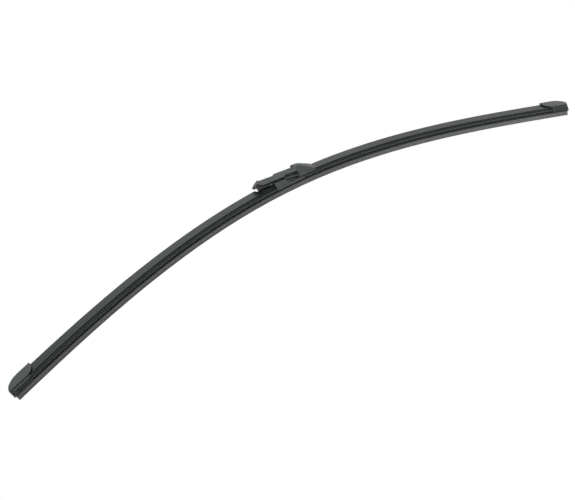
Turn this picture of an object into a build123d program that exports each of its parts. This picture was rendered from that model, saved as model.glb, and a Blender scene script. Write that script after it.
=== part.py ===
"""Flat windscreen wiper blade: spring rails, rubber, spoilers, end caps and a pivoting arm adapter.

Frame: millimetres, X along the blade, Y across it, +Z away from the glass.
The origin is the middle of the pivot axis, where the arm's adapter carries the blade.
"""
import os
from math import cos, sin

from build123d import *

# The blade as a whole
blade_length = 700.0
middle_radius = 655.0
bow_fade_left = 0.85
bow_fade_right = 1.0
arcs_per_side = 5
pivot_from_middle = 10.0
pivot_height = 11.2

# Spring rails and the clearance round them
rail_width = 3.6
rail_thickness = 0.9
rail_gap = 2.3
rail_fit = 0.1
rail_end_inset = 7.0
latch_notch_length = 4.0
latch_notch_depth = 0.8
latch_notch_inset = 13.0

# Rubber
head_half = 1.7
head_height = 1.3
head_bevel = 0.35
rubber_fit = 0.05
web_fit = 0.12
flange_half = 2.5
flange_height = 0.55
neck_half = 0.5
neck_height = 0.75
lip_half = 1.75
lip_shoulder = 0.7
lip_root_half = 0.5
lip_root_height = 1.7
lip_edge_half = 0.35
lip_depth = 6.75

# Spoiler section: claws round the rails, hollow throat, crease and ridge
claw_wall = 0.7
claw_reach = 0.95
claw_lip = 0.8
foot_height = 0.5
crease_y = -4.2
crease_height = 4.0
throat_lean = 0.3
ridge_y = 1.96
ridge_height = 11.0
ridge_land = 0.8
ridge_drop = 0.3
hollow_wall = 1.25
hollow_top = 7.6

# End caps
cap_length = 31.4
cap_overhang = 1.75
cap_wall = 0.85
cap_rise = 1.35
cap_fit = 0.12
cap_end_wall = 1.4
cap_overlap = 16.0
cap_visor = 8.0
cap_crease_lift = 1.0
cap_slope_start = 15.1
cap_nose_drop = 3.15
cap_nose_back = 3.9
cap_nose_foot = 4.7
cap_corner = 6.0

# Pivot and the base's side outlines in X and Z
pin_radius = 1.5
pin_length = 9.6
pin_running = 0.04
ear_radius = 2.7
web_half = 2.7
base_front = -8.8
base_half = 5.75
bulge_front_top = (-8.8, -3.3)
bulge_crest = (1.0, -3.75)
bulge_end = (7.3, -8.4)
bulge_chamfer = 1.5
web_outline = ((-8.4, -7.0), (-8.4, -1.0), (-7.0, 0.4), (6.0, 0.4), (20.4, -1.65), (19.0, -7.0))
arm_outline = ((4.2, -3.0), (19.4, -6.1), (19.4, -7.5), (7.2, -5.3), (4.2, -5.3))
arm_half = 4.7

# Arm adapter, side outlines in X and Z
adapter_half = 6.5
adapter_wall = 1.5
adapter_deck = 1.3
adapter_chin = (-26.4, 2.4)
adapter_top_line = ((-26.4, 5.3), (-6.2, 3.5), (-5.0, 4.8), (21.0, 2.8))
prong_end = (20.4, -2.6)
prong_start = (6.6, -0.8)
adapter_bottom_line = ((4.9, -2.3), (-17.0, -1.2))
prong_open = 11.0
ceiling = 3.1
cheek_half_length = 3.7
cheek_bottom = -1.6
cheek_gap = 0.3
mouth_share = 0.86
skirt_outline = ((-25.0, 4.4), (-28.4, 2.4), (-27.7, -0.4), (-26.6, -3.7), (-9.6, -4.2), (-9.6, 3.0))
skirt_half = 4.4
skirt_inner = 3.6
skirt_lip_half = 5.3
skirt_lip = 0.95
window_top = 0.6
window_rear = -25.2
hook_outline = (
    (-26.8, 2.6),
    (-27.4, 2.6),
    (-27.7, 3.9),
    (-28.0, 2.8),
    (-29.4, 2.9),
    (-29.4, 1.4),
    (-26.8, 1.2),
)
hook_knob = (-29.4, 2.2)
hook_radius = 0.95
hook_half = 1.8
bead_place = (-24.2, 5.0)
bead_radius = 1.1
foot_front = -25.0
foot_length = 1.6
foot_half = 2.6
stop_gap = 0.3
stud_place = (17.4, 3.6)
stud_radius = 1.95
stud_proud = 0.7
stud_foot = 1.5
cross_pin_radius = 1.1
cross_pin_proud = 0.3
tongue_length = 12.0
tongue_half = 2.8
tongue_slot = 0.8
tongue_front = -21.0
catch_height = 0.5
catch_length = 3.5
catch_half = 2.0

# Fairing and the spoilers' ends at the connector
fairing_begin = 19.5
fairing_solid = 5.0
fairing_lean = ((19.3, -10.4), (22.4, 2.0), (22.9, 8.0))
fairing_foot = 1.6
fairing_skirt = 0.35
# Each section: place behind the start, near shoulder, top, far shoulder and fullness
fairing_sections = (
    (0.0, (-6.1, 6.8), (0.3, 18.0), (6.1, 6.8), 1.0),
    (4.5, (-6.1, 6.6), (0.4, 17.8), (6.1, 6.6), 1.0),
    (8.0, (-6.0, 6.3), (0.7, 17.0), (6.0, 6.4), 0.9),
    (12.5, (-5.6, 5.5), (1.3, 15.35), (5.9, 6.4), 0.7),
    (16.5, (-5.2, 4.95), (1.9, 13.75), (5.7, 6.4), 0.45),
    (20.5, (-4.75, 4.35), (2.45, 12.0), (5.4, 6.4), 0.2),
)
fullness_share = 0.6
trim_start = (-30.3, 0.6)
trim_floor_front = (-27.6, -3.55)
trim_floor_rear = (-8.0, -3.8)
butt_gap = 0.3

# Sizes that follow from the ones above
half_length = blade_length / 2
span = half_length / arcs_per_side
rail_outer = rail_gap / 2 + rail_width
rail_seat = rail_thickness / 2 + rail_fit
claw_outer = rail_outer + rail_fit + claw_wall
claw_inner = rail_outer + rail_fit - claw_reach
claw_bottom = -(rail_seat + claw_lip)
shoulder = rail_seat + foot_height
head_top = rail_thickness / 2 + rubber_fit + head_height
hollow_half = head_half + rail_fit * 2
hollow_floor = head_top + rail_fit * 2
fairing_mouth = fairing_begin + fairing_solid
cap_start = half_length + cap_overhang - cap_length
spoiler_end = cap_start + cap_overlap
web_foot = ((web_outline[-1][0], -pivot_height), (web_outline[0][0], -pivot_height))
middle = Plane.YZ.offset(pivot_from_middle)


def bend(index, side):
    """Curvature of one arc: it fades evenly from the middle to each tip."""
    fade = bow_fade_right if side > 0 else bow_fade_left
    return (1 - fade * (index + 0.5) / arcs_per_side) / middle_radius


def along(s):
    """Point and heading of the rails' mid line, s millimetres from the blade's middle."""
    side = 1 if s >= 0 else -1
    left = abs(s)
    x = 0.0
    z = -pivot_height
    heading = 0.0
    for index in range(arcs_per_side):
        step = min(left, span)
        turned = heading - bend(index, side) * step
        x += (sin(heading) - sin(turned)) / bend(index, side)
        z += (cos(turned) - cos(heading)) / bend(index, side)
        heading = turned
        left -= step
    return pivot_from_middle + side * x, z, side * heading


def station(s):
    """Section plane across the blade: local x runs along Y, local y away from the glass."""
    x, z, heading = along(s)
    return Plane(origin=(x, 0, z), x_dir=(0, 1, 0), z_dir=(cos(heading), 0, sin(heading)))


def rail_run(start, end):
    """Tangent arcs of the rails' mid line between two places, drawn in the current line."""
    breaks = [index * span for index in range(1 - arcs_per_side, arcs_per_side) if index]
    stops = [start, *[s for s in breaks if start < s < end], end]
    for first, last in zip(stops, stops[1:]):
        places = [along(s) for s in (first, (first + last) / 2, last)]
        ThreePointArc(*[(x, 0, z) for x, z, heading in places])


def outline(grow=0.0, rise=0.0, lift=0.0):
    """Outside of the spoiler section, grown by a wall and raised at its ridge and crease."""
    wide = claw_outer + grow
    low = claw_bottom - grow
    step = shoulder + grow
    crease = (crease_y - grow, crease_height + lift)
    ridge = (ridge_y - grow / 2, ridge_height + grow + rise)
    land = (ridge_y + ridge_land + grow, ridge_height - ridge_drop + grow + rise)
    with BuildLine() as edge:
        Polyline((-wide, step), (-wide, low), (wide, low), (wide, step))
        TangentArc(crease, (-wide, step), tangent=(throat_lean, -1))
        Polyline(crease, ridge, land)
        TangentArc(land, (wide, step), tangent=(0, -1))
    make_face(edge.edges())


def rail_slot():
    """Room for both rails and, below them, for the rubber between the claws."""
    Rectangle(2 * (rail_outer + rail_fit), 2 * rail_seat, mode=Mode.SUBTRACT)
    with Locations((0, -rail_seat)):
        Rectangle(2 * claw_inner, 2 * claw_lip + 2, align=(Align.CENTER, Align.MAX), mode=Mode.SUBTRACT)


def head_room():
    """Hollow over the rubber's head that tapers up into the spoiler's fin."""
    near = crease_y + hollow_wall
    with BuildLine() as edge:
        Polyline(
            (-hollow_half, 0),
            (-hollow_half, hollow_floor),
            (near, crease_height - hollow_wall),
            (ridge_y - hollow_wall / 2, hollow_top),
            (hollow_half, hollow_floor),
            (hollow_half, 0),
            close=True,
        )
    make_face(edge.edges(), mode=Mode.SUBTRACT)


def spoiler_section():
    """Spoiler with its claws, throat and hollow."""
    outline()
    rail_slot()
    head_room()


def side_profile(points, half, mode=Mode.ADD):
    """Plate of the given half width from an outline in X and Z."""
    with BuildSketch(Plane.XZ) as plate:
        with BuildLine():
            Polyline(*points, close=True)
        make_face()
    extrude(plate.sketch, amount=half, both=True, mode=mode)


def cross_bar(place, radius, half, mode=Mode.ADD):
    """Round bar across the blade, centred on a place in X and Z."""
    with BuildSketch(Plane.XZ) as disc:
        with Locations(place):
            Circle(radius)
    extrude(disc.sketch, amount=half, both=True, mode=mode)


def mix(first, second, share):
    """Point between two points."""
    return tuple(a + (b - a) * share for a, b in zip(first, second))


def shoulder_curve(low, top, fullness):
    """Curve from a shoulder to the top of a section, from a straight line to a full arch."""
    rise = mix(low, (low[0], top[1]), fullness_share)
    run = mix(top, (low[0], top[1]), fullness_share)
    Bezier(low, mix(mix(low, top, 1 / 3), rise, fullness), mix(mix(low, top, 2 / 3), run, fullness), top)


# Spring rails
with BuildPart() as rail_front:
    rail_length = half_length - rail_end_inset
    with BuildLine() as rail_line:
        rail_run(-rail_length, rail_length)
    with BuildSketch(station(-rail_length)):
        with Locations((-(rail_gap + rail_width) / 2, 0)):
            Rectangle(rail_width, rail_thickness)
    sweep(path=rail_line.wire())
    for end in (-1, 1):
        with BuildSketch(station(end * (half_length - latch_notch_inset))):
            with Locations((-rail_outer, 0)):
                Rectangle(2 * latch_notch_depth, 2 * rail_thickness)
        extrude(amount=latch_notch_length / 2, both=True, mode=Mode.SUBTRACT)

with BuildPart() as rail_rear:
    mirror(rail_front.part, about=Plane.XZ)

# Rubber with its head over the rails, flange under them and tapered lip
with BuildPart() as wiper_rubber:
    rail_top = rail_thickness / 2 + rubber_fit
    flange_bottom = -rail_top - flange_height
    lip_top = flange_bottom - neck_height
    with BuildLine() as rubber_line:
        rail_run(-half_length, half_length)
    with BuildSketch(station(-half_length)):
        with BuildLine():
            Polyline(
                (0, head_top),
                (head_half - head_bevel, head_top),
                (head_half, head_top - head_bevel),
                (head_half, rail_top),
                (rail_gap / 2 - web_fit, rail_top),
                (rail_gap / 2 - web_fit, -rail_top),
                (flange_half, -rail_top),
                (flange_half, flange_bottom),
                (neck_half, flange_bottom),
                (neck_half, lip_top),
                (lip_half, lip_top),
                (lip_half, lip_top - lip_shoulder),
                (lip_root_half, -lip_depth + lip_root_height),
                (lip_edge_half, -lip_depth),
                (0, -lip_depth),
            )
            mirror(about=Plane.YZ)
        make_face()
    sweep(path=rubber_line.wire())

# Spoilers on both sides of the connector
spoiler_left_end = base_front - butt_gap - pivot_from_middle
spoiler_right_end = fairing_mouth + butt_gap - pivot_from_middle

with BuildPart() as spoiler_left:
    with BuildLine() as spoiler_left_line:
        rail_run(-spoiler_end, spoiler_left_end)
    with BuildSketch(station(-spoiler_end)):
        spoiler_section()
    sweep(path=spoiler_left_line.wire())
    side_profile(
        [
            trim_start,
            trim_floor_front,
            trim_floor_rear,
            (trim_floor_rear[0], 2 * ridge_height),
            (trim_start[0], 2 * ridge_height),
        ],
        2 * claw_outer,
        Mode.SUBTRACT,
    )

with BuildPart() as spoiler_right:
    with BuildLine() as spoiler_right_line:
        rail_run(spoiler_right_end, spoiler_end)
    with BuildSketch(station(spoiler_right_end)):
        spoiler_section()
    sweep(path=spoiler_right_line.wire())

# End caps: a shell over the spoiler's end with a slanted visor and a falling nose
cap_mouth = station(cap_start)
cap_side = Plane(origin=cap_mouth.origin, x_dir=cap_mouth.z_dir, z_dir=(0, -1, 0))
cap_plan = Plane(origin=cap_mouth.origin, x_dir=cap_mouth.z_dir, z_dir=cap_mouth.y_dir)
cap_top = ridge_height + cap_wall + cap_rise
cap_crease = crease_height + cap_crease_lift

with BuildPart() as end_cap_right:
    with BuildSketch(cap_mouth):
        outline(cap_wall, cap_rise, cap_crease_lift)
    extrude(amount=cap_length)
    with BuildSketch(cap_mouth):
        outline(cap_fit)
    extrude(amount=cap_overlap + cap_fit, mode=Mode.SUBTRACT)
    with BuildSketch(cap_mouth):
        with Locations((0, -rail_seat)):
            Rectangle(
                2 * (rail_outer + rail_fit),
                rail_seat + hollow_floor,
                align=(Align.CENTER, Align.MIN),
            )
        with Locations((0, -rail_seat)):
            Rectangle(2 * claw_inner, 2 * cap_wall + 2 * claw_lip, align=(Align.CENTER, Align.MAX))
    extrude(amount=cap_length - cap_end_wall, mode=Mode.SUBTRACT)
    with BuildSketch(cap_side):
        with BuildLine():
            fall_end = (cap_length - cap_nose_back, cap_top - cap_nose_drop)
            fall = TangentArc((cap_slope_start, cap_top), fall_end, tangent=(1, 0))
            TangentArc(fall_end, (cap_length, cap_nose_foot), tangent=fall % 1)
            Polyline(
                (cap_length, cap_nose_foot),
                (2 * cap_length, cap_nose_foot),
                (2 * cap_length, 2 * cap_top),
                (cap_slope_start, 2 * cap_top),
                (cap_slope_start, cap_top),
            )
        make_face()
        with BuildLine():
            Line((cap_visor, cap_crease), (-cap_length, cap_crease))
            Polyline((-cap_length, cap_crease), (-cap_length, 2 * cap_top), (0, 2 * cap_top), (0, cap_top))
            TangentArc((cap_visor, cap_crease), (0, cap_top), tangent=(-1, 0))
        make_face()
        with Locations((cap_visor, cap_crease)):
            Rectangle(2 * cap_length, 4 * cap_crease, align=(Align.MAX, Align.MAX))
    extrude(amount=2 * claw_outer, both=True, mode=Mode.SUBTRACT)
    cap_half = claw_outer + cap_wall
    with BuildSketch(cap_plan):
        with Locations((cap_length, cap_half), (cap_length, -cap_half)):
            Rectangle(2 * cap_corner, 2 * cap_corner)
        round_at = (cap_length - cap_corner, cap_half - cap_corner)
        with Locations(round_at, (round_at[0], -round_at[1])):
            Circle(cap_corner, mode=Mode.SUBTRACT)
    extrude(amount=2 * cap_top, both=True, mode=Mode.SUBTRACT)

with BuildPart() as end_cap_left:
    left_station = station(-cap_start)
    flipped_origin = (2 * pivot_from_middle - cap_mouth.origin.X, 0, cap_mouth.origin.Z)
    flipped_out = (-cap_mouth.z_dir.X, 0, cap_mouth.z_dir.Z)
    flipped_mouth = Plane(origin=flipped_origin, x_dir=(0, 1, 0), z_dir=flipped_out)
    left_mouth = Plane(origin=left_station.origin, x_dir=(0, 1, 0), z_dir=-left_station.z_dir)
    with Locations(left_mouth.location * flipped_mouth.location.inverse()):
        add(end_cap_right.part.mirror(middle))

# Base that grips the rails, with a bulge that falls away, the pivot web and the rear bar
with BuildPart() as connector_base:
    base_start = base_front - pivot_from_middle
    base_end = fairing_mouth - pivot_from_middle
    bulge_foot = shoulder / 2 - pivot_height
    with BuildSketch(Plane.XZ):
        with BuildLine():
            Polyline((bulge_end[0], bulge_foot), (base_front, bulge_foot), bulge_front_top, bulge_crest)
            TangentArc(bulge_crest, bulge_end, tangent=Vector(bulge_crest) - Vector(bulge_front_top))
            Line(bulge_end, (bulge_end[0], bulge_foot))
        make_face()
    extrude(amount=base_half, both=True)
    side_edges = [edge for edge in connector_base.edges() if abs(edge.center().Y) > base_half / 2]
    crest_edges = [edge for edge in side_edges if edge.center().Z > (bulge_end[1] + bulge_crest[1]) / 2]
    chamfer(crest_edges, bulge_chamfer)
    with BuildLine() as base_line:
        rail_run(base_start, base_end)
    with BuildSketch(station(base_start)):
        with Locations((0, claw_bottom)):
            Rectangle(2 * claw_outer, shoulder - claw_bottom, align=(Align.CENTER, Align.MIN))
    sweep(path=base_line.wire())
    side_profile([*web_outline, *web_foot], web_half)
    side_profile(arm_outline, arm_half)
    cross_bar((0, 0), ear_radius, web_half)
    cross_bar((0, 0), pin_radius, adapter_half, Mode.SUBTRACT)
    with BuildLine() as slot_line:
        rail_run(base_start - 1, base_end + 1)
    with BuildSketch(station(base_start - 1)):
        Rectangle(2 * (rail_outer + rail_fit), 2 * rail_seat)
        with Locations((0, -rail_seat)):
            Rectangle(2 * claw_inner, 2 * claw_lip, align=(Align.CENTER, Align.MAX))
        Rectangle(2 * hollow_half, hollow_floor, align=(Align.CENTER, Align.MIN))
    sweep(path=slot_line.wire(), mode=Mode.SUBTRACT)

with BuildPart() as pivot_pin:
    cross_bar((0, 0), pin_radius, pin_length / 2)
    chamfer(pivot_pin.edges().filter_by(GeomType.CIRCLE), pin_radius / 5)

# Arm adapter: an open channel that clips over the pin, with a locking tongue in its deck
with BuildPart() as arm_adapter:
    with BuildSketch(Plane.XZ):
        with BuildLine():
            Polyline(adapter_chin, *adapter_top_line, prong_end, prong_start, *adapter_bottom_line)
            bottom_run = Vector(adapter_bottom_line[1]) - Vector(adapter_bottom_line[0])
            TangentArc(adapter_bottom_line[1], adapter_chin, tangent=bottom_run)
        make_face()
    extrude(amount=adapter_half, both=True)
    deck_front, step_foot, step_top, deck_rear = adapter_top_line
    inner_half = adapter_half - adapter_wall
    inner_front = deck_front[0] + adapter_wall
    open_share = (prong_open - step_top[0]) / (deck_rear[0] - step_top[0])
    side_profile(
        [
            (inner_front, -pivot_height),
            (inner_front, deck_front[1] - adapter_deck),
            (step_foot[0], step_foot[1] - adapter_deck),
            (step_top[0], ceiling),
            (cheek_half_length, ceiling),
            (prong_open, mix(step_top, deck_rear, open_share)[1] - adapter_deck),
            (prong_open, pivot_height),
            (2 * deck_rear[0], pivot_height),
            (2 * deck_rear[0], -pivot_height),
        ],
        inner_half,
        Mode.SUBTRACT,
    )
    cheek = [
        (-cheek_half_length, cheek_bottom),
        (-cheek_half_length, ceiling),
        (cheek_half_length, ceiling),
        (cheek_half_length, cheek_bottom),
    ]
    side_profile(cheek, inner_half)
    side_profile(cheek, web_half + cheek_gap, Mode.SUBTRACT)
    cross_bar((0, 0), pin_radius + pin_running, inner_half, Mode.SUBTRACT)
    mouth = pin_radius * mouth_share
    side_profile(
        [(-mouth, 0), (mouth, 0), (mouth, 2 * cheek_bottom), (-mouth, 2 * cheek_bottom)],
        inner_half,
        Mode.SUBTRACT,
    )
    # Narrow skirt below the front with a lip round its lower edge
    brow, bend_point, toe, heel = skirt_outline[1:5]
    side_profile(skirt_outline, skirt_half)
    side_profile(
        [
            brow,
            bend_point,
            toe,
            heel,
            (heel[0], heel[1] + skirt_lip),
            (toe[0] + skirt_lip, toe[1] + skirt_lip),
            (bend_point[0] + skirt_lip, bend_point[1]),
            (brow[0] + skirt_lip, brow[1]),
        ],
        skirt_lip_half,
    )
    side_profile(
        [
            (inner_front, deck_front[1] - 2 * adapter_deck),
            (toe[0] + adapter_wall, toe[1] - adapter_wall),
            (heel[0] + adapter_wall, heel[1] - adapter_wall),
            (heel[0] + adapter_wall, step_foot[1] - 2 * adapter_deck),
        ],
        skirt_inner,
        Mode.SUBTRACT,
    )
    foot_level = trim_floor_front[1] + stop_gap
    side_profile(
        [
            (brow[0], foot_level),
            (heel[0] + adapter_wall, foot_level),
            (heel[0] + adapter_wall, -pivot_height),
            (brow[0], -pivot_height),
        ],
        skirt_inner,
        Mode.SUBTRACT,
    )
    # Open front behind the near post
    with BuildSketch(Plane.XY.offset(window_top)):
        with Locations((window_rear, -skirt_inner)):
            Rectangle(pivot_height, 2 * adapter_half, align=(Align.MAX, Align.MIN))
    extrude(amount=-pivot_height, mode=Mode.SUBTRACT)
    side_profile(hook_outline, hook_half)
    cross_bar(hook_knob, hook_radius, hook_half)
    cross_bar(bead_place, bead_radius, adapter_half)
    side_profile(
        [
            (foot_front, step_foot[1] + adapter_deck / 2),
            (foot_front, foot_level),
            (foot_front + foot_length, foot_level),
            (foot_front + foot_length, step_foot[1] + adapter_deck / 2),
        ],
        foot_half,
    )
    cross_bar(stud_place, stud_radius, adapter_half + stud_proud)
    deck_run = (Vector(deck_rear) - Vector(step_top)).normalized()
    deck_up = Vector(-deck_run.Y, deck_run.X)
    stud_sides = [Vector(stud_place) - deck_run * stud_radius, Vector(stud_place) + deck_run * stud_radius]
    stud_feet = [side - deck_up * stud_foot for side in reversed(stud_sides)]
    side_profile([*stud_sides, *stud_feet], adapter_half)
    cross_bar(stud_place, stud_radius + stud_proud, inner_half, Mode.SUBTRACT)
    cross_bar(stud_place, cross_pin_radius, 2 * adapter_half, Mode.SUBTRACT)
    with BuildSketch(Plane.XY):
        with Locations((tongue_front, 0)):
            Rectangle(tongue_length, 2 * (tongue_half + tongue_slot), align=(Align.MIN, Align.CENTER))
        with Locations((tongue_front + tongue_slot, 0)):
            Rectangle(
                tongue_length,
                2 * tongue_half,
                align=(Align.MIN, Align.CENTER),
                mode=Mode.SUBTRACT,
            )
    extrude(amount=pivot_height, mode=Mode.SUBTRACT)
    catch_front = tongue_front + tongue_slot
    catch_share = (catch_front - deck_front[0]) / (step_foot[0] - deck_front[0])
    rear_share = (catch_front + catch_length - deck_front[0]) / (step_foot[0] - deck_front[0])
    catch_base = mix(deck_front, step_foot, catch_share)
    catch_tail = mix(deck_front, step_foot, rear_share)
    side_profile(
        [
            (catch_front, catch_base[1] - adapter_deck / 2),
            (catch_front, catch_base[1] + catch_height),
            catch_tail,
            (catch_tail[0], catch_tail[1] - adapter_deck / 2),
        ],
        catch_half,
    )

with BuildPart() as cross_pin:
    cross_bar(stud_place, cross_pin_radius, adapter_half + stud_proud + cross_pin_proud)
    chamfer(cross_pin.edges().filter_by(GeomType.CIRCLE), cross_pin_proud)

# Fairing: a saddle over the right spoiler's end that falls from the adapter's height to the ridge
with BuildPart() as fairing:
    fairing_place = fairing_begin - pivot_from_middle
    foot_half_width = claw_outer + fairing_skirt
    for behind, near, top, far, fullness in fairing_sections:
        with BuildSketch(station(fairing_place + behind)):
            with BuildLine():
                foot_near = (min(near[0], -foot_half_width), 0)
                foot_far = (max(far[0], foot_half_width), 0)
                Line(foot_near, near)
                shoulder_curve(near, top, fullness)
                shoulder_curve(far, top, fullness)
                Polyline(far, foot_far, foot_near)
            make_face()
    loft()
    last_place = fairing_place + fairing_sections[-1][0]
    with BuildLine() as pocket_line:
        rail_run(fairing_place + fairing_solid, last_place + 1)
    with BuildSketch(station(fairing_place + fairing_solid)):
        outline(cap_fit)
    sweep(path=pocket_line.wire(), mode=Mode.SUBTRACT)
    with BuildLine() as foot_line:
        rail_run(fairing_place - 1, last_place + 1)
    with BuildSketch(station(fairing_place - 1)):
        with Locations((0, fairing_foot)):
            Rectangle(4 * claw_outer, 2 * fairing_foot, align=(Align.CENTER, Align.MAX))
    sweep(path=foot_line.wire(), mode=Mode.SUBTRACT)
    with BuildSketch(station(fairing_place)):
        Rectangle(2 * hollow_half, 2 * hollow_floor)
    extrude(amount=2 * fairing_solid, both=True, mode=Mode.SUBTRACT)
    lean_foot = fairing_lean[0]
    lean_top = fairing_lean[-1]
    lean_front = [(lean_top[0], 2 * pivot_height), (0, 2 * pivot_height), (0, lean_foot[1])]
    side_profile([*fairing_lean, *lean_front], 2 * claw_outer, Mode.SUBTRACT)

pieces = {
    "wiper_rubber": wiper_rubber,
    "rail_front": rail_front,
    "rail_rear": rail_rear,
    "spoiler_left": spoiler_left,
    "spoiler_right": spoiler_right,
    "end_cap_left": end_cap_left,
    "end_cap_right": end_cap_right,
    "connector_base": connector_base,
    "pivot_pin": pivot_pin,
    "arm_adapter": arm_adapter,
    "cross_pin": cross_pin,
    "fairing": fairing,
}
os.makedirs("parts", exist_ok=True)
for name, piece in pieces.items():
    piece.part.label = name
    export_step(piece.part, f"parts/{name}.step")
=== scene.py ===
"""Looks of a flat wiper blade: finishes for its solids, a pale stage, soft light and the camera.

Lengths are in metres, X along the blade, Y across it and +Z away from the glass. The origin is the
middle of the pivot axis.
"""

from math import cos, pi, radians, sin

import bpy
import numpy as np
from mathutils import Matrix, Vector

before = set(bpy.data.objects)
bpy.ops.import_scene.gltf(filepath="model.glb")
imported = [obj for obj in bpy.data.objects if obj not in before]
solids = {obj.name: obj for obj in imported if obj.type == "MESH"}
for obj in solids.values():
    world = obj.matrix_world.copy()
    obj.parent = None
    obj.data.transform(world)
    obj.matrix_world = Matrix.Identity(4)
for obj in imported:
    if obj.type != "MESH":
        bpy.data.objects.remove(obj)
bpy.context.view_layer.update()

# The bow of the blade: equal arcs on each side, flatter by steps from the middle to the tips
BLADE_MIDDLE = 0.010
HALF_LENGTH = 0.350
RAILS_BELOW_PIVOT = 0.0112
MIDDLE_RADIUS = 0.655
BOW_FADE_LEFT = 0.85
BOW_FADE_RIGHT = 1.0
ARCS_PER_SIDE = 5
STRIDES_PER_ARC = 100
BOW_POWERS = (2, 3, 4, 5)

# Heights over the rails' mid line, and half heights of the lines there
# The claw's pale line is a painted highlight
CLAW_HIGHLIGHT = -0.0003
# The caps' pale lines are painted highlights
CAP_HIGHLIGHTS = (-0.0003, 0.0014)
LINE_HALF = 0.00035
LINE_CORE = 0.3
CLAW_TOP = 0.00105
CLAW_TOP_HALF = 0.0012
LIP_EDGE = -0.0066
LIP_TOP = -0.0058
# The shoulder fade leads into painted shade
SHOULDER_SHADE_FADE = (-0.0032, -0.0026)

# Half width and top of the adapter's inner faces, which get painted shade
ADAPTER_SHADE_ZONE = (0.0060, 0.0020)

# Tint of the plastics' sheen
SHEEN_TINT = (0.90, 1.0, 0.95, 1.0)

# Edges and narrow gaps: how far a normal turns on a full edge, how near a neighbour paints gap shade
EDGE_SAMPLES = 6
EDGE_TURN = 0.12
GAP_SHADE_SAMPLES = 8
GAP_SHADE_REACH = 0.006
GAP_SHADE_OPENNESS = (0.72, 0.30)

# The Mix node's colour sockets
MIX_FIRST = 6
MIX_SECOND = 7
MIX_RESULT = 2

# The stage, with the tent's and the backdrop's edges as parts of a direction of length one
WHITE = (1.0, 1.0, 1.0, 1.0)
FLOOR_LEVEL = -0.42
FLOOR_SIZE = 8.0
FLOOR_DARK = (0.80, 0.80, 0.80)
FLOOR_LIGHT = (0.84, 0.84, 0.84)
FLOOR_GLOW = (0.55, 1.0)
SHADOW_REACH = 0.7
DOME_LOW = 0.06
DOME_HIGH = 1.10
TENT_RISE = (0.1, 0.6)
TENT_BACK = (-0.45, -0.05)
BACKDROP_EDGE = (0.5, 0.8)

# The camera of the photograph
PHOTO_WIDTH = 575.0
PHOTO_FOCAL = 1000.0
SENSOR_WIDTH = 36.0
NEAREST_SEEN = 0.01
FARTHEST_SEEN = 50.0
CAMERA_PLACE = (-0.3794, -0.9557, -0.1826)
CAMERA_TURN_DEGREES = (97.12, 28.99, -16.63)


def bow_factors(fade):
    """Factors of the powers of the distance from the middle that give the drop of the rails' mid line.

    They are fitted to places along the arcs of one side.
    """
    stride = HALF_LENGTH / (ARCS_PER_SIDE * STRIDES_PER_ARC)
    out, drop, heading = 0.0, 0.0, 0.0
    places = []
    for arc in range(ARCS_PER_SIDE):
        turn = stride * (1 - fade * (arc + 0.5) / ARCS_PER_SIDE) / MIDDLE_RADIUS
        for _ in range(STRIDES_PER_ARC):
            heading += turn
            out += stride * cos(heading - turn / 2)
            drop -= stride * sin(heading - turn / 2)
            places.append((out, drop))
    outs, drops = np.array(places).T
    powers = np.stack([outs**power for power in BOW_POWERS], axis=1)
    return np.linalg.lstsq(powers, drops, rcond=None)[0].tolist()


BOW_SIDES = list(zip(bow_factors(BOW_FADE_LEFT), bow_factors(BOW_FADE_RIGHT)))


class Wire:
    """A socket's value in a finish. Arithmetic on it adds Math nodes."""

    def __init__(self, finish, socket):
        self.finish = finish
        self.socket = socket

    def maths(self, operation, *values):
        return self.finish.node("ShaderNodeMath", {"operation": operation}, dict(enumerate(values)))

    def __add__(self, other):
        return self.maths("ADD", self, other)

    def __radd__(self, other):
        return self.maths("ADD", other, self)

    def __sub__(self, other):
        return self.maths("SUBTRACT", self, other)

    def __rsub__(self, other):
        return self.maths("SUBTRACT", other, self)

    def __mul__(self, other):
        return self.maths("MULTIPLY", self, other)

    def __rmul__(self, other):
        return self.maths("MULTIPLY", other, self)

    def __gt__(self, other):
        return self.maths("GREATER_THAN", self, other)

    def __or__(self, other):
        return self.maths("MAXIMUM", self, other)

    def __abs__(self):
        return self.maths("ABSOLUTE", self)


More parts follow.
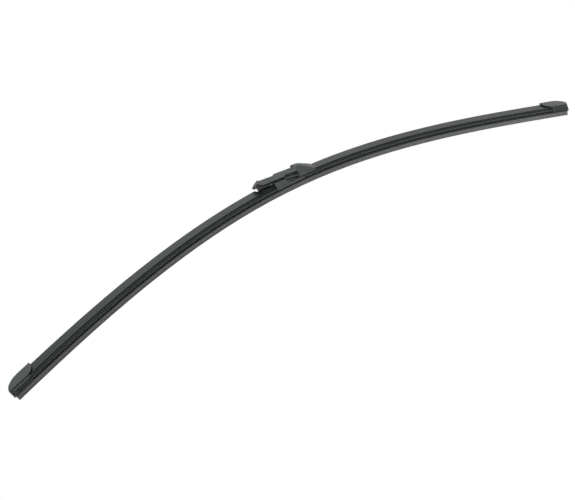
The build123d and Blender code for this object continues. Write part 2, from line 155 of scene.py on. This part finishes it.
class Finish:
    """The nodes of a material or of the world."""

    def __init__(self, owner):
        owner.use_nodes = True
        self.owner = owner
        self.tree = owner.node_tree
        self.tree.nodes.clear()

    def node(self, kind, settings=None, sockets=None, output=0):
        """Adds a node: its settings first, then a value or a link for each named socket."""
        made = self.tree.nodes.new(kind)
        for key, value in (settings or {}).items():
            setattr(made, key, value)
        for key, value in (sockets or {}).items():
            if isinstance(value, Wire):
                self.tree.links.new(value.socket, made.inputs[key])
            else:
                made.inputs[key].default_value = value
        return Wire(self, made.outputs[output]) if made.outputs else None

    def place(self):
        """Object coordinates."""
        return self.node("ShaderNodeTexCoord", output="Object")

    def parts_of(self, vector):
        """The three numbers of a vector."""
        first = self.node("ShaderNodeSeparateXYZ", None, {0: vector})
        return [Wire(self, socket) for socket in first.socket.node.outputs]

    def vector(self, x, y, z):
        return self.node("ShaderNodeCombineXYZ", None, {0: x, 1: y, 2: z})

    def noise(self, vector, scale, detail=2.0, roughness=0.5):
        sockets = {"Vector": vector, "Scale": scale, "Detail": detail, "Roughness": roughness}
        return self.node("ShaderNodeTexNoise", None, sockets)

    def streaks(self, blade, per_metre, detail, roughness=0.5):
        """Noise with its own scale along the blade, across it and upwards."""
        scaled = [place * scale for place, scale in zip(blade, per_metre)]
        return self.noise(self.vector(*scaled), scale=1.0, detail=detail, roughness=roughness)

    def range(self, value, low, high, first=0.0, last=1.0):
        """Maps low to high onto first to last, eased and held at both ends."""
        settings = {"interpolation_type": "SMOOTHSTEP", "clamp": True}
        sockets = {"Value": value, "From Min": low, "From Max": high, "To Min": first, "To Max": last}
        return self.node("ShaderNodeMapRange", settings, sockets)

    def blend(self, factor, first, second):
        """A colour between two others."""
        settings = {"data_type": "RGBA", "blend_type": "MIX"}
        sockets = {"Factor": factor, MIX_FIRST: opaque(first), MIX_SECOND: opaque(second)}
        return self.node("ShaderNodeMix", settings, sockets, MIX_RESULT)

    def along_blade(self):
        """Length along the blade, place across it and height over the bowed rails."""
        x, y, z = self.parts_of(self.place())
        out = abs(x - BLADE_MIDDLE)
        on_right = x > BLADE_MIDDLE
        a, b, c, d = [left + on_right * (right - left) for left, right in BOW_SIDES]
        bow = out * out * (a + out * (b + out * (c + out * d)))
        return x, y, z - bow + RAILS_BELOW_PIVOT

    def line_at(self, height, level, half):
        """One on a line along the blade at a height, nought beside it."""
        return self.range(abs(height - level), half, LINE_CORE * half)

    def rounded(self, radius):
        """Normal with its edges rounded off, and how far each place is on an edge."""
        soft = self.node("ShaderNodeBevel", {"samples": EDGE_SAMPLES}, {"Radius": radius})
        flat = self.node("ShaderNodeNewGeometry", output="Normal")
        dot = {"operation": "DOT_PRODUCT"}
        same = self.node("ShaderNodeVectorMath", dot, {0: soft, 1: flat}, "Value")
        return soft, self.range(1 - same, 0.0, EDGE_TURN)

    def gap(self):
        """One in narrow gaps, nought on open faces: where shade is painted in."""
        settings = {"samples": GAP_SHADE_SAMPLES}
        openness = self.node("ShaderNodeAmbientOcclusion", settings, {"Distance": GAP_SHADE_REACH}, "AO")
        return self.range(openness, *GAP_SHADE_OPENNESS)

    def bump(self, height, depth, normal):
        """Normal with a relief of the given depth added."""
        sockets = {"Height": height, "Distance": depth, "Normal": normal}
        return self.node("ShaderNodeBump", None, sockets)

    def surface(self, colour, roughness, normal, **constants):
        """Ends the finish with one shader."""
        sockets = {"Base Color": colour, "Roughness": roughness, "Normal": normal}
        for key, value in constants.items():
            sockets[key.replace("_", " ")] = value
        self.end(self.node("ShaderNodeBsdfPrincipled", None, sockets))
        return self.owner

    def end(self, shader, kind="ShaderNodeOutputMaterial"):
        self.node(kind, None, {"Surface": shader})


def opaque(colour):
    """A colour with its alpha, or a wire as it is."""
    return colour if isinstance(colour, Wire) else (*colour, 1.0)


def brighter(colour, times):
    return tuple(times * part for part in colour)


def swing(noise, width):
    """A noise about nought instead of a half, scaled to a width."""
    return (noise - 0.5) * width


def extruded_plastic(name, dark, light, gloss):
    """Extruded spoiler plastic: fine draw lines along the blade, a satin skin, edges paler by rubbing
    and by a painted highlight.

    A thin painted highlight runs along the claws, and their tops are dull.
    """
    finish = Finish(bpy.data.materials.new(name))
    blade = finish.along_blade()
    height = blade[2]
    lines = finish.streaks(blade, per_metre=(7, 900, 900), detail=3.0, roughness=0.6)
    cloud = finish.noise(finish.place(), scale=55.0, detail=3.0)
    grain = finish.noise(finish.place(), scale=4200.0, detail=1.0)
    soft, edge = finish.rounded(radius=0.00025)
    claw_highlight = finish.line_at(height, CLAW_HIGHLIGHT, LINE_HALF)
    dull = finish.line_at(height, CLAW_TOP, CLAW_TOP_HALF)
    mottle = finish.range(lines * 0.5 + cloud * 0.5, low=0.25, high=0.75)
    colour = finish.blend(mottle, dark, light)
    # Edges paler by rubbing and by a painted highlight
    colour = finish.blend(edge * 0.2, colour, brighter(light, times=1.8))
    # Painted highlight: a thin pale line along the claws
    colour = finish.blend(claw_highlight * 0.8, colour, brighter(light, times=9.0))
    roughness = gloss + swing(lines, 0.10) + swing(cloud, 0.12) - edge * 0.06 + dull * 0.4
    normal = finish.bump(lines * 0.5 + grain * 0.5, depth=0.00002, normal=soft)
    return finish.surface(colour, roughness, normal, Specular_Tint=SHEEN_TINT)


def moulded_plastic(name, dark, light, gloss, sheen=0.5, lines=(), shade_inside=None):
    """Moulded plastic: a fine spark-eroded grain, slight flow clouds, edges paler by rubbing and by a
    painted highlight, painted shade in narrow gaps.

    The lines are heights of thin painted highlights along the blade. The last argument gives the half
    width and the top of the inner faces, which get painted shade.
    """
    finish = Finish(bpy.data.materials.new(name))
    place = finish.place()
    cloud = finish.noise(place, scale=90.0, detail=3.0)
    grain = finish.noise(place, scale=2600.0, detail=2.0, roughness=0.6)
    speck = finish.noise(place, scale=700.0, detail=2.0)
    soft, edge = finish.rounded(radius=0.0003)
    mottle = finish.range(cloud * 0.85 + speck * 0.15, low=0.32, high=0.68)
    colour = finish.blend(mottle, dark, light)
    # Edges paler by rubbing and by a painted highlight
    colour = finish.blend(edge * 0.25, colour, brighter(light, times=1.6))
    # Painted shade in narrow gaps, found by ambient occlusion
    colour = finish.blend(finish.gap() * 0.8, colour, brighter(dark, times=0.15))
    # Painted highlights along the blade at the given heights
    for level in lines:
        cap_highlight = finish.line_at(finish.along_blade()[2], level, LINE_HALF)
        colour = finish.blend(cap_highlight * 0.6, colour, brighter(light, times=3.5))
    # Painted shade on the inner faces
    if shade_inside:
        half, top = shade_inside
        across, up = finish.parts_of(place)[1:]
        within = finish.range(abs(across), low=half, high=0.95 * half)
        inner_shade = within * finish.range(up, low=top, high=0.5 * top)
        colour = finish.blend(inner_shade * 0.7, colour, brighter(dark, times=0.2))
    roughness = gloss + swing(grain, 0.14) + swing(cloud, 0.10) - edge * 0.08
    normal = finish.bump(grain + speck * 0.4, depth=0.000045, normal=soft)
    return finish.surface(colour, roughness, normal, Specular_IOR_Level=sheen, Specular_Tint=SHEEN_TINT)


def squeegee_rubber():
    """Wiping rubber: a lip dulled by graphite, a cleaner cut edge, painted shade above the lip."""
    graphite_dark = (0.140, 0.147, 0.139)
    graphite_light = (0.163, 0.171, 0.162)
    cut_rubber = (0.060, 0.061, 0.061)
    shoulder_shade = (0.045, 0.047, 0.046)
    lip_roughness = 0.60
    finish = Finish(bpy.data.materials.new("squeegee rubber"))
    blade = finish.along_blade()
    height = blade[2]
    lines = finish.streaks(blade, per_metre=(5, 500, 1400), detail=2.0, roughness=0.6)
    cloud = finish.streaks(blade, per_metre=(40, 200, 200), detail=3.0)
    pores = finish.noise(finish.place(), scale=3800.0, detail=1.0)
    cut = finish.range(height, LIP_TOP, LIP_EDGE)
    soft, edge = finish.rounded(radius=0.00015)
    colour = finish.blend(finish.range(cloud, low=0.3, high=0.7), graphite_dark, graphite_light)
    colour = finish.blend(cut * 0.5, colour, cut_rubber)
    # Painted shade on the rubber's shoulder, under the claws
    colour = finish.blend(finish.range(height, *SHOULDER_SHADE_FADE), colour, shoulder_shade)
    roughness = lip_roughness + swing(lines, 0.12) + swing(cloud, 0.10) - cut * 0.12 - edge * 0.05
    normal = finish.bump(lines * 0.6 + pores * 0.5, depth=0.00005, normal=soft)
    return finish.surface(colour, roughness, normal)


def brushed_steel(name, dark, light, gloss, scratches):
    """Drawn steel: scratches, by their number a metre in each direction, and a little tarnish."""
    finish = Finish(bpy.data.materials.new(name))
    lines = finish.streaks(finish.along_blade(), per_metre=scratches, detail=3.0, roughness=0.65)
    tarnish = finish.noise(finish.place(), scale=130.0, detail=4.0)
    soft, edge = finish.rounded(radius=0.0002)
    colour = finish.blend(finish.range(tarnish, low=0.35, high=0.7), dark, light)
    roughness = gloss + swing(lines, 0.2) + swing(tarnish, 0.15) - edge * 0.05
    normal = finish.bump(lines, depth=0.00002, normal=soft)
    return finish.surface(colour, roughness, normal, Metallic=1.0)


finishes = {
    "spoiler": extruded_plastic(
        "spoiler plastic",
        dark=(0.0128, 0.0155, 0.0142),
        light=(0.0198, 0.0233, 0.0216),
        gloss=0.34,
    ),
    "cap": moulded_plastic(
        "cap plastic",
        dark=(0.017, 0.020, 0.018),
        light=(0.024, 0.028, 0.026),
        gloss=0.34,
        sheen=0.95,
        lines=CAP_HIGHLIGHTS,
    ),
    # The fairing, base and adapter are black plastic; their paler colours are painted light for their
    # lit walls
    "fairing": moulded_plastic(
        "fairing plastic",
        dark=(0.088, 0.097, 0.093),
        light=(0.102, 0.112, 0.107),
        gloss=0.40,
    ),
    "base": moulded_plastic(
        "base plastic",
        dark=(0.092, 0.101, 0.097),
        light=(0.108, 0.118, 0.113),
        gloss=0.44,
    ),
    "adapter": moulded_plastic(
        "adapter plastic",
        dark=(0.130, 0.141, 0.136),
        light=(0.150, 0.162, 0.156),
        gloss=0.46,
        shade_inside=ADAPTER_SHADE_ZONE,
    ),
    "rubber": squeegee_rubber(),
    "rail": brushed_steel(
        "rail steel",
        dark=(0.20, 0.20, 0.21),
        light=(0.34, 0.34, 0.35),
        gloss=0.36,
        scratches=(12, 900, 900),
    ),
    "pin": brushed_steel(
        "pin steel",
        dark=(0.16, 0.16, 0.17),
        light=(0.26, 0.26, 0.27),
        gloss=0.30,
        scratches=(500, 40, 500),
    ),
}
worn_by = {
    "wiper_rubber": "rubber",
    "rail_front": "rail",
    "rail_rear": "rail",
    "spoiler_left": "spoiler",
    "spoiler_right": "spoiler",
    "fairing": "fairing",
    "end_cap_left": "cap",
    "end_cap_right": "cap",
    "connector_base": "base",
    "arm_adapter": "adapter",
    "pivot_pin": "pin",
    "cross_pin": "pin",
}
for solid, finish_name in worn_by.items():
    solids[solid].data.materials.clear()
    solids[solid].data.materials.append(finishes[finish_name])


def pale_floor():
    """A wide matt floor that fades into the white backdrop away from the shadow, clear from below."""
    bpy.ops.object.select_all(action="DESELECT")
    bpy.ops.mesh.primitive_plane_add(size=FLOOR_SIZE, location=(0, 0, FLOOR_LEVEL))
    floor = bpy.context.object
    floor.name = "floor"
    finish = Finish(bpy.data.materials.new("pale floor"))
    place = finish.place()
    away = finish.node("ShaderNodeVectorMath", {"operation": "LENGTH"}, {0: place}, "Value")
    colour = finish.blend(finish.noise(place, scale=1.5), FLOOR_DARK, FLOOR_LIGHT)
    matt = finish.node("ShaderNodeBsdfDiffuse", None, {"Color": colour})
    seen = finish.node("ShaderNodeLightPath", output="Is Camera Ray")
    lift = seen * finish.range(away, SHADOW_REACH, 2 * SHADOW_REACH, *FLOOR_GLOW)
    glow = finish.node("ShaderNodeEmission", None, {"Color": WHITE, "Strength": lift})
    pale = finish.node("ShaderNodeAddShader", None, {0: matt, 1: glow})
    below = finish.node("ShaderNodeNewGeometry", output="Backfacing")
    clear = finish.node("ShaderNodeBsdfTransparent")
    finish.end(finish.node("ShaderNodeMixShader", None, {0: below, 1: pale, 2: clear}))
    floor.data.materials.append(finish.owner)


def studio_world():
    """A backdrop that is white to the eye, and a tent that lights the blade from above and behind.

    Reflections see the tent, and the white backdrop where they look straight back.
    """
    sky = Finish(bpy.data.worlds.new("studio"))
    bpy.context.scene.world = sky.owner
    back, up = sky.parts_of(sky.node("ShaderNodeTexCoord", output="Generated"))[1:]
    tent = sky.range(up, *TENT_RISE) * sky.range(back, *TENT_BACK)
    dome = DOME_LOW + tent * (DOME_HIGH - DOME_LOW)
    to_eye = sky.node("ShaderNodeLightPath", output="Is Camera Ray")
    through = sky.node("ShaderNodeLightPath", output="Is Transmission Ray")
    mirrored = sky.node("ShaderNodeLightPath", output="Is Glossy Ray")
    seen = to_eye | through | mirrored * sky.range(back, *BACKDROP_EDGE)
    level = dome + seen * (1 - dome)
    light = sky.node("ShaderNodeBackground", None, {"Color": WHITE, "Strength": level})
    sky.end(light, "ShaderNodeOutputWorld")


def soft_lamp(name, place, target, width, depth, power, spread=pi):
    """A rectangular softbox turned towards a place on the blade. A narrow spread is a grid on it."""
    bpy.ops.object.light_add(type="AREA", location=place)
    lamp = bpy.context.object
    lamp.name = name
    lamp.data.shape = "RECTANGLE"
    lamp.data.size = width
    lamp.data.size_y = depth
    lamp.data.energy = power
    lamp.data.spread = spread
    lamp.visible_camera = False
    lamp.rotation_euler = (Vector(target) - Vector(place)).to_track_quat("-Z", "Y").to_euler()


def photo_camera():
    """The camera where the photograph was taken from."""
    lens = bpy.data.cameras.new("camera")
    lens.sensor_fit = "HORIZONTAL"
    lens.sensor_width = SENSOR_WIDTH
    lens.lens = PHOTO_FOCAL * SENSOR_WIDTH / PHOTO_WIDTH
    lens.clip_start = NEAREST_SEEN
    lens.clip_end = FARTHEST_SEEN
    camera = bpy.data.objects.new("camera", lens)
    camera.location = CAMERA_PLACE
    camera.rotation_euler = [radians(angle) for angle in CAMERA_TURN_DEGREES]
    bpy.context.scene.collection.objects.link(camera)
    bpy.context.scene.camera = camera


pale_floor()
studio_world()
soft_lamp(
    "overhead softbox",
    place=(0.08, -0.05, 1.10),
    target=(0.0, 0.0, 0.0),
    width=1.6,
    depth=0.9,
    power=2.5,
)
soft_lamp(
    "front fill",
    place=(-0.94, -1.34, 1.15),
    target=(0.25, 0.0, -0.03),
    width=0.6,
    depth=0.5,
    power=1.1,
    spread=0.75,
)
soft_lamp(
    "low fill",
    place=(0.75, -0.55, -0.33),
    target=(0.10, 0.0, -0.03),
    width=0.6,
    depth=0.35,
    power=2.3,
)
photo_camera()
bpy.context.scene.view_settings.view_transform = "Standard"
